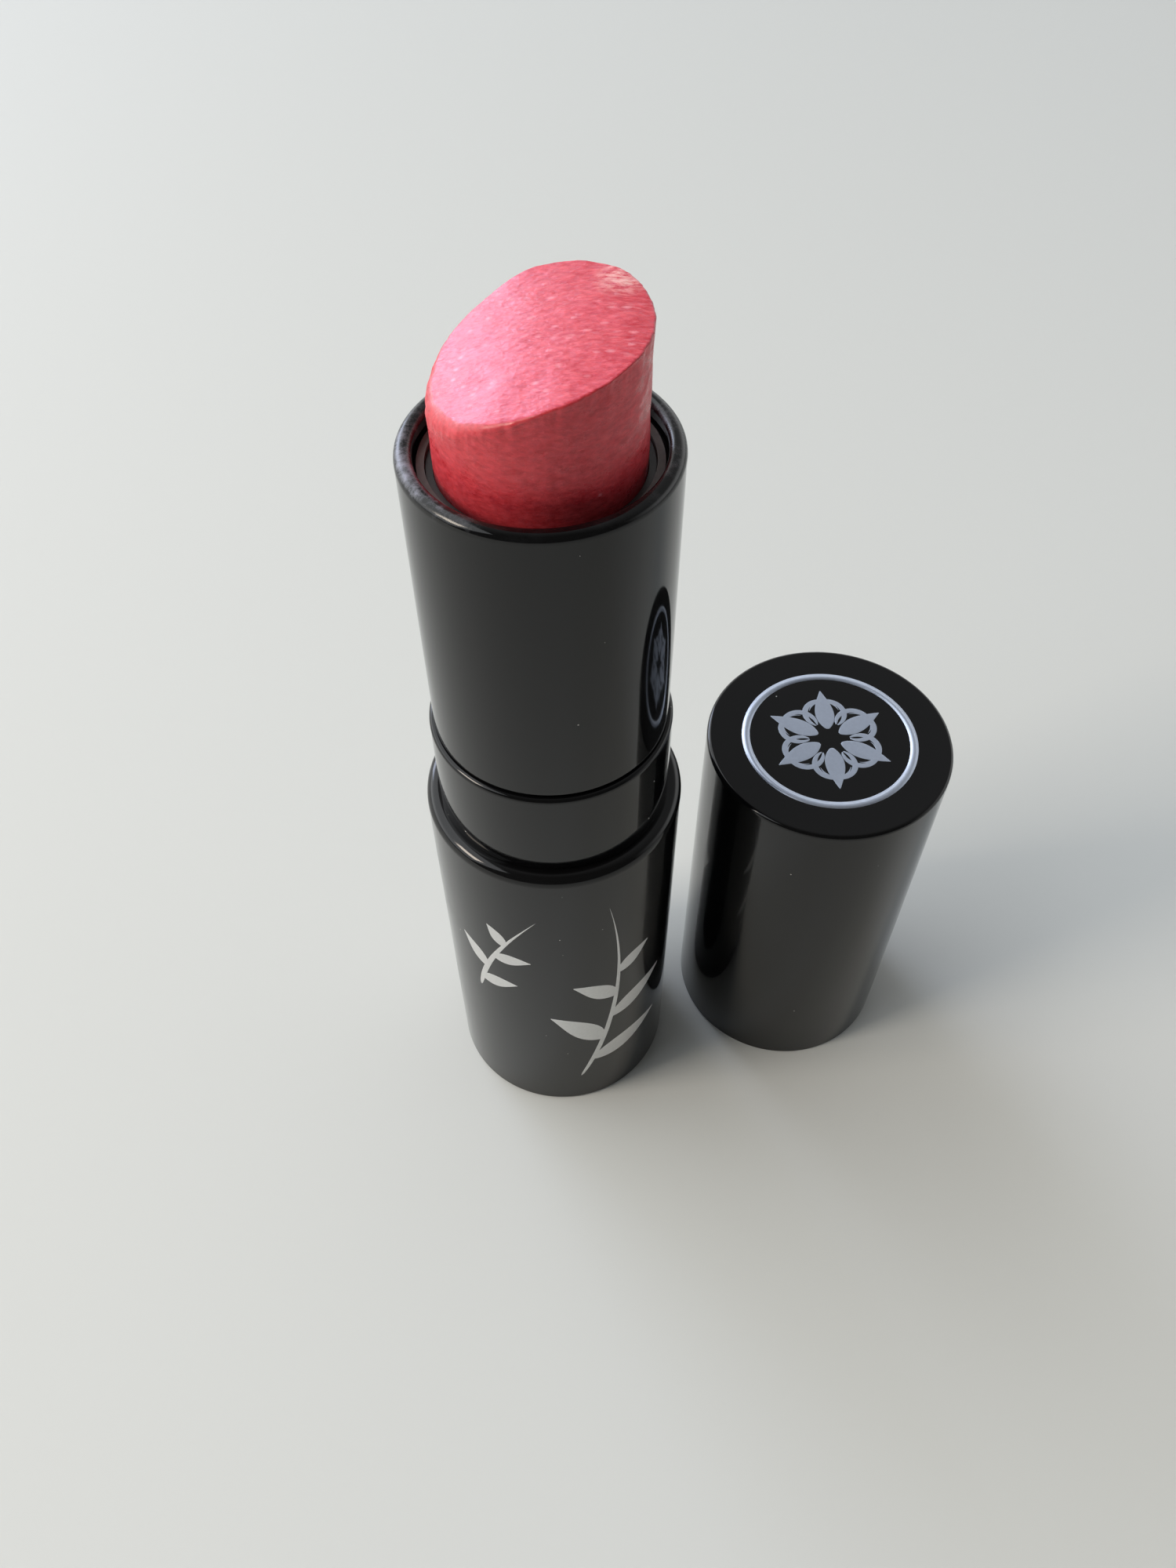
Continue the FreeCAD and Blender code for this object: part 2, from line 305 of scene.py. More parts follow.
GLOSS_IOR = 1.42         # a little under that of clean ABS and lacquer, for the film of handling
SMUDGE = 9.0             # mm across a soft patch of that film


def gloss_black(name, colour, least_rough, most_rough, share):
    """Polished black: a smudged gloss with sparse dust."""
    made, tree, shader, place = new_material(name)
    smudge = add(tree, "ShaderNodeTexNoise", {},
                 {"Vector": place, "Scale": per_metre(SMUDGE), "Detail": 4.0, "Roughness": 0.6})
    rough = add(tree, "ShaderNodeMapRange", {},
                {"Value": smudge.outputs["Fac"], "From Min": 0.4, "From Max": 0.7,
                 "To Min": least_rough, "To Max": most_rough})
    dust = dust_specks(tree, place, spacing=1.6, size=0.055, share=share)
    colour = add(tree, "ShaderNodeMix", {"data_type": "RGBA"},
                 {0: dust, 6: linear(colour), 7: linear("#b9b8b4")})
    dull = add(tree, "ShaderNodeMath", {"operation": "MAXIMUM"},
               {0: rough.outputs[0], 1: dust})
    shader.inputs["IOR"].default_value = GLOSS_IOR
    tree.links.new(colour.outputs[2], shader.inputs["Base Color"])
    tree.links.new(dull.outputs[0], shader.inputs["Roughness"])
    return made, tree, shader, place


gloss_abs = gloss_black("moulded ABS, gloss black", "#0b0b0c", 0.05, 0.16, 0.22)[0]
print("made", gloss_abs.name)

# %% [markdown]
# ## Black lacquer on aluminium
# The collar and the tube are drawn from aluminium sheet and sprayed with black lacquer. The
# lacquer hides the metal, so the finish is a dielectric one with a slightly cleaner gloss. The
# tube's lip is where the cap's liner and the fingers rub: there the lacquer is worn from gloss
# to satin, and scuffed grey in patches. The wear is let through only near the lip's height and on
# two sides, and the patches in it are a noise. On the crest of one side the patches are larger,
# and there they are painted pale bluish: a painted highlight laid over the real scuffs.

# %% Lacquered aluminium, with a scuffed lip and a painted highlight on it
SCUFF_HEADING = math.radians(12)         # the scuffs lie on this side of the lip and opposite
PAINTED_HIGHLIGHT_HEADING = math.radians(-155)     # the painted highlight and the largest scuffs lie on the crest here
WEAR_LOW, WEAR_HIGH = lip_z - 0.8, lip_z - 0.2          # mm: the wear sets in, and is full
CREST_LOW, CREST_HIGH = lip_z - 0.34, lip_z - 0.06      # mm: the same for the painted highlight on the crest
SCUFF_SIZE = 1.1         # mm
SATIN_ROUGH, SCUFF_ROUGH = 0.24, 0.45

lacquer = gloss_black("lacquered aluminium, gloss black", "#0a0a0b", 0.035, 0.10, 0.40)[0]
lip_lacquer, tree, shader, place = gloss_black(
    "lacquered aluminium, scuffed at the lip", "#0a0a0b", 0.035, 0.10, 0.40)
axes = add(tree, "ShaderNodeSeparateXYZ", {}, {"Vector": place})
near_lip = add(tree, "ShaderNodeMapRange", {},
               {"Value": axes.outputs["Z"], "From Min": WEAR_LOW * MM,
                "From Max": WEAR_HIGH * MM})
sideways = add(tree, "ShaderNodeVectorMath", {"operation": "DOT_PRODUCT"},
               {0: place, 1: (math.cos(SCUFF_HEADING), math.sin(SCUFF_HEADING), 0.0)})
reach = add(tree, "ShaderNodeMath", {"operation": "ABSOLUTE"}, {0: sideways.outputs["Value"]})
two_sides = add(tree, "ShaderNodeMapRange", {},
                {"Value": reach.outputs[0], "From Min": 0.50 * tube_r * MM,
                 "From Max": 0.95 * tube_r * MM, "To Min": 0.05})
mottle = add(tree, "ShaderNodeTexNoise", {},
             {"Vector": place, "Scale": per_metre(SCUFF_SIZE), "Detail": 6.0, "Roughness": 0.75})
# Where the painted highlight lies: towards its heading, and high on the lip's crest.
toward_painted_highlight = add(tree, "ShaderNodeVectorMath", {"operation": "DOT_PRODUCT"},
              {0: place, 1: (math.cos(PAINTED_HIGHLIGHT_HEADING), math.sin(PAINTED_HIGHLIGHT_HEADING), 0.0)})
around = add(tree, "ShaderNodeMapRange", {},
             {"Value": toward_painted_highlight.outputs["Value"], "From Min": 0.66 * tube_r * MM,
              "From Max": 0.96 * tube_r * MM})
crest = add(tree, "ShaderNodeMapRange", {},
            {"Value": axes.outputs["Z"], "From Min": CREST_LOW * MM,
             "From Max": CREST_HIGH * MM})
larger_scuffs_and_painted_highlight = add(tree, "ShaderNodeMath", {"operation": "MULTIPLY"},
            {0: around.outputs[0], 1: crest.outputs[0]})
larger = add(tree, "ShaderNodeMath", {"operation": "MULTIPLY_ADD"},
             {0: larger_scuffs_and_painted_highlight.outputs[0], 1: 0.10, 2: mottle.outputs["Fac"]})
cut = add(tree, "ShaderNodeMapRange", {},
          {"Value": larger.outputs[0], "From Min": 0.50, "From Max": 0.80})
on_lip = add(tree, "ShaderNodeMath", {"operation": "MULTIPLY"},
             {0: near_lip.outputs[0], 1: two_sides.outputs[0]})
scuffs_and_painted_highlight = add(tree, "ShaderNodeMath", {"operation": "MULTIPLY"},
            {0: cut.outputs[0], 1: on_lip.outputs[0]})
old_colour = shader.inputs["Base Color"].links[0].from_socket
old_rough = shader.inputs["Roughness"].links[0].from_socket
# Painted highlight: on the crest the scuff grey turns pale bluish.
scuff_grey_and_painted_highlight = add(tree, "ShaderNodeMix", {"data_type": "RGBA"},
            {0: larger_scuffs_and_painted_highlight.outputs[0], 6: linear("#686a70"), 7: linear("#9a9cab")})
scuffed = add(tree, "ShaderNodeMix", {"data_type": "RGBA"},
              {0: scuffs_and_painted_highlight.outputs[0], 6: old_colour, 7: scuff_grey_and_painted_highlight.outputs[2]})
satin = add(tree, "ShaderNodeMix", {}, {0: on_lip.outputs[0], 2: old_rough, 3: SATIN_ROUGH})
worn_rough = add(tree, "ShaderNodeMix", {},
                 {0: scuffs_and_painted_highlight.outputs[0], 2: satin.outputs[0], 3: SCUFF_ROUGH})
tree.links.new(scuffed.outputs[2], shader.inputs["Base Color"])
tree.links.new(worn_rough.outputs[0], shader.inputs["Roughness"])
relief = add(tree, "ShaderNodeBump", {}, {"Height": scuffs_and_painted_highlight.outputs[0], "Strength": 0.25,
                                          "Distance": 0.02 * MM})
tree.links.new(relief.outputs["Normal"], shader.inputs["Normal"])
print("made", lacquer.name, "and", lip_lacquer.name)

# %% [markdown]
# ## The base sleeve
# A tube closed above by a rim that turns in under the collar. The rim's outer edge has the
# largest rounding of the case, and it meets the collar in a narrow dark ledge. Its wall is drawn
# a hundredth of a millimetre inside its real size, because the print lies on it and the two
# together make up the full radius.

# %% Turn the base sleeve
INK = 0.01               # mm: thickness of the print above the wall
RIM_THICK = 1.2
RIM_ROUND, BASE_FOOT_ROUND = 0.87, 0.25
skirt_r = collar_r - 0.35

base_sleeve = piece_from("base_sleeve", [turned(profile([
    (plate_r, 0),
    (case_r - INK, 0, BASE_FOOT_ROUND),
    (case_r - INK, rim_z, RIM_ROUND),
    (skirt_r, rim_z),
    (skirt_r, rim_z - RIM_THICK),
    (plate_r, rim_z - RIM_THICK),
]))])


def dress(piece, finish, body, nodes=()):
    """Give a piece its finish, its body and the CAD nodes it stands for."""
    piece.data.materials.clear()
    piece.data.materials.append(finish)
    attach(piece, body)
    if nodes:
        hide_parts(*nodes)


dress(base_sleeve, gloss_abs, "base", ["base_shell"])

# %% [markdown]
# ## The collar
# The ring that the cap grips. Its upper edge is rounded, so that the cap finds it, and a groove
# inside holds the soft brake ring that steadies the twist. The groove doesn't show, but it is
# drawn, because the ring would otherwise cut through the wall.

# %% Turn the collar
COLLAR_ROUND = 0.32
collar_bore = sleeve_r + 0.05
brake_low, brake_high = (corner[2] for corner in extent("brake_ring"))
RING_ROOM = 0.02         # mm between the brake ring and its groove
groove_r = radius_of("brake_ring") + RING_ROOM
seat_collar = piece_from("seat_collar", [turned(profile([
    (collar_bore, collar_foot_z),
    (skirt_r, collar_foot_z),
    (skirt_r, rim_z, 0.03),
    (collar_r, rim_z, 0.06),
    (collar_r, collar_z, COLLAR_ROUND),
    (collar_bore, collar_z),
    (collar_bore, brake_high + RING_ROOM, 0.02),
    (groove_r, brake_high + RING_ROOM, 0.02),
    (groove_r, brake_low - RING_ROOM, 0.02),
    (collar_bore, brake_low - RING_ROOM, 0.02),
]))])
dress(seat_collar, lacquer, "base", ["collar"])

# %% [markdown]
# ## The twist tube
# The part that the fingers turn. Its mouth turns in to a rounded lip that hides the top of the
# mechanism, and the lip's two roundings nearly meet, so it catches the light as one soft band.

# %% Turn the twist tube
LIP_THICK = 1.2
LIP_OUTER_ROUND, LIP_INNER_ROUND, TUBE_FOOT_ROUND = 0.56, 0.42, 0.18
FORK_R = 6.95            # the fork's upright part, inside the lip
lip_bore = FORK_R + 0.15
twist_tube = piece_from("twist_tube", [turned(profile([
    (sleeve_r, tube_foot_z, 0.04),
    (tube_r, tube_foot_z, TUBE_FOOT_ROUND),
    (tube_r, lip_z, LIP_OUTER_ROUND),
    (lip_bore, lip_z, LIP_INNER_ROUND),
    (lip_bore, lip_z - LIP_THICK),
    (sleeve_r, lip_z - LIP_THICK),
]))])
dress(twist_tube, lip_lacquer, "tube", ["tube_shell"])

# %% [markdown]
# ## The cap
# A deep cup, turned over and standing on its mouth. The profile starts and ends on the axis, so
# the end is closed above and inside. The end's wall is drawn a hundredth of a millimetre low for
# the same reason as the base's: the print lies on it.

# %% Turn the cap's shell
CAP_ROUND, MOUTH_ROUND = 0.35, 0.15
cap_sleeve = piece_from("cap_sleeve", [turned(profile([
    (0, cap_z - INK),
    (cap_r, cap_z - INK, CAP_ROUND),
    (cap_r, 0, MOUTH_ROUND),
    (liner_r, 0),
    (liner_r, liner_z),
    (0, liner_z),
], closed=False), cap_middle)])
dress(cap_sleeve, gloss_abs, "cap", ["cap_shell"])

# %% [markdown]
# ## The wax
# A round bar cast in a mould, whose slanted face has been rubbed round by use. It is one surface
# of two parameters: the angle round the bar, and a path that runs from the middle of the foot,
# up the side, over the ridge and in to the middle of the face. Sculpting could make it, but a
# formula keeps it exactly on the worn face of the CAD solid. On top of that shape go small
# unevennesses, as sums of waves with random directions: long low ones for finger pressure, and
# fine ones stretched along the stroke for the streaks that the skin leaves.

# %% Waves for uneven surfaces
def waves(x, y, size, seed, count=24):
    """Smooth noise between about -1 and 1 with features of one size, at points x, y in mm.

    It is the sum of sines along random directions, each with its own wavelength near the size
    and its own phase, divided by the root of half their number.
    """
    pick = np.random.default_rng(seed)
    heading = pick.uniform(0, 2 * math.pi, count)
    pace = 2 * math.pi / (size * pick.uniform(0.7, 1.6, count))
    phase = pick.uniform(0, 2 * math.pi, count)
    total = 0
    for h, p, f in zip(heading, pace, phase):
        total = total + np.sin(p * (x * math.cos(h) + y * math.sin(h)) + f)
    return total / math.sqrt(2 * count)

# %% [markdown]
# The face is part of a lying cylinder, and the ridge where it meets the side is ragged: wax is
# dragged over it and rolls up. The ridge is a curve with three control points at each angle: one
# below it on the side, one at the corner, and one in on the face. The further the outer two are
# from the corner, the rounder the edge, and low on the left it is worn quite round.

# %% Shape the wax
wax_low, wax_high = extent("lipstick_bullet")
wax_r = radius_of("lipstick_bullet")
cup_rim = extent("bullet_cup")[1][2]
FACE_SLOPE, FACE_TILT, FACE_ROUND = math.radians(19.6), math.radians(3.6), 21.0
FACE_MIDDLE = cup_rim + 7.65
STROKE_HEADING = math.radians(-16)
WORN_HEADING = math.radians(-151)        # where the ridge is worn quite round
WORN_SPREAD = 0.9                        # radians to where that wear has fallen to a third
ROLL, WORN_ROLL = 0.13, 0.50             # mm: width of the ridge, and what the wear adds to it
# Heights or depths of the unevennesses and their sizes, in mm.
LUMPS, STREAKS, DENTS, GROOVES = (0.035, 3.2), (0.006, 0.30), (0.035, 2.6), (0.016, 1.0)
SIDE_INSET = 0.05        # mm: the side lies this far inside, so that its dents stay in the bar
CUP_COVER = 1.0          # mm of the side that the cup's rim covers
# Heading round the ridge in degrees, and how far wear has left it above the even face, in mm.
RIDGE_WEAR = np.array([
    (-150, 0.00), (-125, 0.02), (-110, -0.02), (-80, -0.03), (-30, -0.02), (10, -0.10),
    (28, 0.02), (36, 0.08), (45, 0.11), (52, -0.07), (62, -0.02), (85, 0.0), (96, 0.07),
    (104, 0.0), (112, -0.05), (117, -0.12), (123, 0.03), (130, -0.04), (136, 0.10), (150, 0.15),
    (170, 0.05)])


def face_height(x, y):
    """Height of the worn face: a cylinder of radius FACE_ROUND lying along Y, its far end raised.

    Low lumps, streaks along the stroke, and the wear at the ridge are added. The wear is
    evened out over ten degrees and fades inwards with the sixth power of the radius.
    """
    base = FACE_MIDDLE - FACE_ROUND * math.cos(FACE_SLOPE) + math.tan(FACE_TILT) * y
    bow = np.sqrt(FACE_ROUND ** 2 - (x - FACE_ROUND * math.sin(FACE_SLOPE)) ** 2)
    lumps = LUMPS[0] * waves(x, y, LUMPS[1], seed=3)
    along = x * math.cos(STROKE_HEADING) + y * math.sin(STROKE_HEADING)
    beside = y * math.cos(STROKE_HEADING) - x * math.sin(STROKE_HEADING)
    streaks = STREAKS[0] * waves(along / 3, beside, STREAKS[1], seed=4)
    heading = np.degrees(np.arctan2(y, x))
    wear = np.mean([np.interp(heading + off, RIDGE_WEAR[:, 0], RIDGE_WEAR[:, 1], period=360)
                    for off in (-5, -2.5, 0, 2.5, 5)], axis=0)
    share = np.hypot(x, y) / wax_r
    return base + bow + lumps + streaks + wear * share ** 6


def wax_grid(angle_steps=384, side_rows=70, ridge_rows=14, face_rows=120):
    """The wax as a grid of (angle, path) points.

    Each row is a closed loop round the axis. The side goes up at radius wax_r, the ridge is a
    quadratic Bezier curve, and the face comes in along the radius at face_height.
    """
    angle = np.linspace(0, 2 * math.pi, angle_steps + 1)[None, :]

    def height(r):
        return face_height(r * np.cos(angle), r * np.sin(angle))

    from_low_left = np.mod(angle - WORN_HEADING + math.pi, 2 * math.pi) - math.pi
    worn = np.exp(-(from_low_left / WORN_SPREAD) ** 2)
    round_x, round_y = wax_r * np.cos(angle), wax_r * np.sin(angle)
    rag = waves(round_x, round_y, 1.1, seed=5) + 0.6 * waves(round_x, round_y, 0.45, seed=8)
    roll = ROLL + WORN_ROLL * worn + 0.03 * rag
    edge_r = wax_r + 0.03 + 0.03 * rag
    corner_z = height(wax_r) + 0.025 * rag - 0.01
    side_top = corner_z - roll

    t = np.linspace(0, 1, side_rows)[:, None]
    side_z = cup_rim - CUP_COVER + (side_top - cup_rim + CUP_COVER) * t
    dents = DENTS[0] * np.minimum(1, t * 3) * waves(
        round_x + 0.6 * side_z, round_y - 0.4 * side_z, DENTS[1], seed=6)
    grooves = GROOVES[0] * t * waves(round_x, round_y, GROOVES[1], seed=7)
    side_r = wax_r - SIDE_INSET + dents + grooves + (edge_r - wax_r) * t ** 8

    b = np.linspace(0, 1, ridge_rows + 2)[1:-1, None]
    in_r = wax_r - roll
    ridge_r = (1 - b) ** 2 * side_r[-1:] + 2 * b * (1 - b) * edge_r + b ** 2 * in_r
    ridge_z = (1 - b) ** 2 * side_top + 2 * b * (1 - b) * corner_z + b ** 2 * height(in_r)

    f = np.linspace(1, 0, face_rows)[:, None]
    face_r = in_r * f
    face_z = height(face_r)

    foot_r = np.array([0, wax_r - 0.1, wax_r, wax_r])[:, None] + 0 * angle
    foot_z = np.array([wax_low[2], wax_low[2], wax_low[2] + 0.1, cup_rim - CUP_COVER - 0.1])
    foot_z = foot_z[:, None] + 0 * angle
    r = np.concatenate([foot_r, side_r, ridge_r, face_r])
    z = np.concatenate([foot_z, side_z + 0 * angle, ridge_z, face_z])
    z = np.minimum(z, wax_high[2])
    return np.stack([r * np.cos(angle), r * np.sin(angle), z], axis=-1)


wax_bar = piece_from("wax_bar", [wax_grid()])
print("top of the wax", max(v.co.z for v in wax_bar.data.vertices) / MM)

# %% [markdown]
# ## Lipstick wax
# Castor oil and wax with coral pigment and pearl mica. The pigment is strong and the wax lets a
# little light in, so shadows in it stay red. On the moulded side the mica lies anyhow and the
# wax is satin, and its tones are set darker than the face's: painted shade on the upright side.
# On the rubbed face the flakes lie flat, and each tilts a little another way: they give that
# face a wide bluish white sheen towards the light, broken up into flecks, which is the tinted
# specular lobe here over cells with their own slant. A few larger flakes get painted glints,
# pale pink spots in the colour. The colour is streaked along the stroke, and near the tip dried
# wax has lost its oil and is cream. The rolled ridge was never rubbed flat, so it keeps the
# side's finish with its painted shade, and shows as a red line.

# %% Coral lipstick wax with pearl
SMALL_FLAKE, LARGE_FLAKE = 0.18, 0.42    # mm, coarser than real mica, so that they show
STREAK, PATCH = 0.26, 0.7                # mm across a streak of pigment and a patch of gloss
DRY_PLACE = tuple(MM * v for v in (4.75, 3.35, 73.9))
DRY_INNER, DRY_OUTER = 0.4, 1.9          # mm from there: wholly dry, and not dry at all


def coral_wax(name, deep, bright, stretch, rough, ior, tint, depth, flakiness, sparkle_share,
              mica_share):
    """Coral wax streaked from deep to bright, the streaks stretched along the stroke or upright.

    Its relief is depth millimetres deep, of which the flakes have the share flakiness. Most of
    the small flakes mirror by up to mica_share, and sparkle_share of the large ones get a painted
    glint, a pale pink spot in the colour.
    """
    made, tree, shader, place = new_material(name)
    stroke = add(tree, "ShaderNodeMapping", {"vector_type": "TEXTURE"},
                 {"Vector": place, "Rotation": (0, 0, STROKE_HEADING), "Scale": stretch})
    streaks = add(tree, "ShaderNodeTexNoise", {},
                  {"Vector": stroke.outputs[0], "Scale": per_metre(STREAK), "Detail": 6.0,
                   "Roughness": 0.7})
    tone = add(tree, "ShaderNodeValToRGB", {}, {"Fac": streaks.outputs["Fac"]})
    tone.color_ramp.elements[0].position = 0.38
    tone.color_ramp.elements[0].color = linear(deep)
    tone.color_ramp.elements[1].position = 0.64
    tone.color_ramp.elements[1].color = linear(bright)
    flat = add(tree, "ShaderNodeMapping", {"vector_type": "TEXTURE"},
               {"Vector": place, "Rotation": (0, 0, STROKE_HEADING), "Scale": (2.0, 1.0, 1.0)})
    flakes = add(tree, "ShaderNodeTexVoronoi", {"feature": "F1"},
                 {"Vector": flat.outputs[0], "Scale": per_metre(SMALL_FLAKE)})
    large = add(tree, "ShaderNodeTexVoronoi", {"feature": "F1"},
                {"Vector": flat.outputs[0], "Scale": per_metre(LARGE_FLAKE)})
    # Painted glints: the middles of a few large flake cells are painted pale pink into the colour.
    glint = add(tree, "ShaderNodeMapRange", {}, {"Value": large.outputs["Distance"],
                                                 "From Min": 0.40, "From Max": 0.0})
    lot = add(tree, "ShaderNodeSeparateColor", {}, {"Color": large.outputs["Color"]})
    chance = add(tree, "ShaderNodeMapRange", {},
                 {"Value": lot.outputs["Red"], "From Min": sparkle_share, "From Max": 0.0})
    painted_glint = add(tree, "ShaderNodeMath", {"operation": "MULTIPLY"},
                {0: glint.outputs[0], 1: chance.outputs[0]})
    wax_with_painted_glints = add(tree, "ShaderNodeMix", {"data_type": "RGBA"},
                {0: painted_glint.outputs[0], 6: tone.outputs["Color"], 7: linear("#ffa6b1")})
    dry = add(tree, "ShaderNodeVectorMath", {"operation": "DISTANCE"}, {0: place, 1: DRY_PLACE})
    near_tip = add(tree, "ShaderNodeMapRange", {},
                   {"Value": dry.outputs["Value"], "From Min": DRY_OUTER * MM,
                    "From Max": DRY_INNER * MM})
    crumbs = add(tree, "ShaderNodeMapRange", {}, {"Value": streaks.outputs["Fac"],
                                                  "From Min": 0.40, "From Max": 0.64})
    dry_mask = add(tree, "ShaderNodeMath", {"operation": "MULTIPLY"},
                   {0: near_tip.outputs[0], 1: crumbs.outputs[0]})
    dried = add(tree, "ShaderNodeMix", {"data_type": "RGBA"},
                {0: dry_mask.outputs[0], 6: wax_with_painted_glints.outputs[2], 7: linear("#ffcfc8")})
    pick = add(tree, "ShaderNodeSeparateColor", {}, {"Color": flakes.outputs["Color"]})
    mica = add(tree, "ShaderNodeMapRange", {}, {"Value": pick.outputs["Green"], "From Min": 0.4,
                                                "From Max": 1.0, "To Max": mica_share})
    colour = add(tree, "ShaderNodeMix", {"data_type": "RGBA"},
                 {0: mica.outputs[0], 6: dried.outputs[2], 7: linear("#f2a6c6")})
    tree.links.new(mica.outputs[0], shader.inputs["Metallic"])
    heights = add(tree, "ShaderNodeMath", {"operation": "MULTIPLY_ADD"},
                  {0: flakes.outputs["Distance"], 1: flakiness, 2: streaks.outputs["Fac"]})
    relief = add(tree, "ShaderNodeBump", {},
                 {"Height": heights.outputs[0], "Strength": 0.7, "Distance": depth * MM})
    tree.links.new(colour.outputs[2], shader.inputs["Base Color"])
    patches = add(tree, "ShaderNodeTexNoise", {},
                  {"Vector": stroke.outputs[0], "Scale": per_metre(PATCH), "Detail": 4.0,
                   "Roughness": 0.65})
    satin = add(tree, "ShaderNodeMapRange", {},
                {"Value": patches.outputs["Fac"], "From Min": 0.38, "From Max": 0.62,
                 "To Min": 0.65 * rough, "To Max": 1.45 * rough})
    tree.links.new(satin.outputs[0], shader.inputs["Roughness"])
    tree.links.new(relief.outputs["Normal"], shader.inputs["Normal"])
    shader.inputs["IOR"].default_value = ior
    shader.inputs["Specular Tint"].default_value = linear(tint)
    shader.inputs["Subsurface Weight"].default_value = 0.12
    shader.inputs["Subsurface Radius"].default_value = (1.0, 0.25, 0.2)
    shader.inputs["Subsurface Scale"].default_value = 0.6 * MM
    return made


RUBBED = 0.80            # faces that look up by more than this are rubbed
# The side's tones are darker than the face's: painted shade for the upright side.
wax_side_with_painted_shade = coral_wax("lipstick wax, coral, moulded side, with painted shade", "#b92b35", "#d8444d",
                     (2.0, 2.0, 1.0), 0.36, 1.48, "#ffffff", 0.03, 0.15, 0.01, 0.03)
wax_face = coral_wax("lipstick wax, coral, rubbed face with pearl", "#cf3843", "#f0606a",
                     (3.0, 1.0, 1.0), 0.20, 1.54, "#9ccaff", 0.05, 0.42, 0.32, 0.07)
dress(wax_bar, wax_side_with_painted_shade, "carriage", ["lipstick_bullet"])
wax_bar.data.materials.append(wax_face)
normals = np.zeros(3 * len(wax_bar.data.polygons))
wax_bar.data.polygons.foreach_get("normal", normals)
rubbed = normals.reshape(-1, 3)[:, 2] > RUBBED
wax_bar.data.polygons.foreach_set("material_index", rubbed.astype(np.int32))
print("rubbed faces", int(rubbed.sum()), "of", len(rubbed))

# %% [markdown]
# ## Leaves and stems for the print
# The base and the cap's end carry a silvery print. A texture could draw it, but it would need an
# unwrapping and would blur close up. Here each leaf and each stem is a thin blade of ink: a
# centre line that bends evenly, a width that swells and tapers along it, and a flattened oval
# section. The blades are drawn flat and then wrapped on the sleeve or laid on the cap's end.

# %% Blades of ink
BLADE_ROWS, BLADE_COLUMNS = 36, 24
DEPTH = 0.03             # mm of the ink that lies in the wall


def blade(start, angle, length, width, bend=0.0, swell=0.75, order=0):
    """A flat blade as a grid of (across, up, lift): lift is 0 at its foot and 1 at its top.

    Its centre line starts at a point with a direction and turns by bend over its length. Half
    its width at the share t of the length is width * sin(pi * t ** swell). Its section is an
    oval with a flat top and foot. Blades of one print differ a little in lift, by their order,
    so that no two tops lie in one plane.
    """
    t = np.linspace(0, 1, BLADE_ROWS)[:, None]
    way = math.radians(angle) + math.radians(bend) * t
    step = length / (BLADE_ROWS - 1)
    move = np.concatenate([np.zeros((1, 2)), np.cumsum(
        step * np.concatenate([np.cos(way[:-1] / 2 + way[1:] / 2),
                               np.sin(way[:-1] / 2 + way[1:] / 2)], axis=1), axis=0)])
    half = width * np.sin(math.pi * t ** swell)
    half[0] = half[-1] = 0
    round_ = np.linspace(0, 2 * math.pi, BLADE_COLUMNS + 1)[None, :]
    side = half * np.cos(round_)
    lift = 0.5 + 0.5 * np.clip(1.6 * np.sin(round_), -1, 1)
    lift = np.where(half > 0, lift, 0.5) * (1 - 0.03 * order)
    x = start[0] + move[:, :1] - side * np.sin(way)
    y = start[1] + move[:, 1:] + side * np.cos(way)
    return np.stack([x, y, lift], axis=-1)


def on_sleeve(grid, heading):
    """Wrap a flat grid round the base: across becomes an arc from the heading, up a height."""
    angle = math.radians(heading) + grid[..., 0] / case_r
    r = case_r - INK - DEPTH + (INK + DEPTH) * grid[..., 2]
    return np.stack([r * np.cos(angle), r * np.sin(angle), grid[..., 1]], axis=-1)


def on_cap_end(grid, heading=0.0):
    """Lay a flat grid on the end of the cap, turned by the heading about its middle."""
    c, s = math.cos(math.radians(heading)), math.sin(math.radians(heading))
    x, y = grid[..., 0], grid[..., 1]
    z = cap_z - INK - DEPTH + (INK + DEPTH) * grid[..., 2]
    return np.stack([cap_middle[0] + c * x - s * y, cap_middle[1] + s * x + c * y, z], axis=-1)


print("one blade has", BLADE_ROWS * BLADE_COLUMNS, "points")

# %% [markdown]
# A sprig is one long bending stem with leaves on alternate sides, smaller towards the tip. Three
# of them stand round the base, each leaning another way, so that one shows from any side, and a
# small twig fills the widest space between them. They are stamped in silver foil, which is satin
# rather than bright, because the foil takes on the grain of its carrier film.

# %% Print the sprigs on the base
def foil(name, deep, bright):
    """Stamped foil with a fine grain between two colours."""
    made, tree, shader, place = new_material(name)
    speckle = add(tree, "ShaderNodeTexNoise", {},
                  {"Vector": place, "Scale": per_metre(0.25), "Detail": 2.0})
    tone = add(tree, "ShaderNodeMix", {"data_type": "RGBA"},
               {0: speckle.outputs["Fac"], 6: linear(deep), 7: linear(bright)})
    tree.links.new(tone.outputs[2], shader.inputs["Base Color"])
    shader.inputs["Roughness"].default_value = 0.36
    shader.inputs["Metallic"].default_value = 0.6
    return made


ink = foil("hot-stamped foil, satin silver", "#d2d2d1", "#e0e0df")
# The cap's print is the same silver foil, tinted bluish as a painted cool reflection on the
# upturned end.
ink_with_painted_cool_reflection = foil("hot-stamped foil, silver with a painted cool reflection", "#bcc6d8", "#ccd6e8")

OFF_STEM, DROOP = 42, 26     # degrees that a leaf leaves the stem by, and bends down after
STEM_WIDTH = 0.26            # mm: half the width of a stem


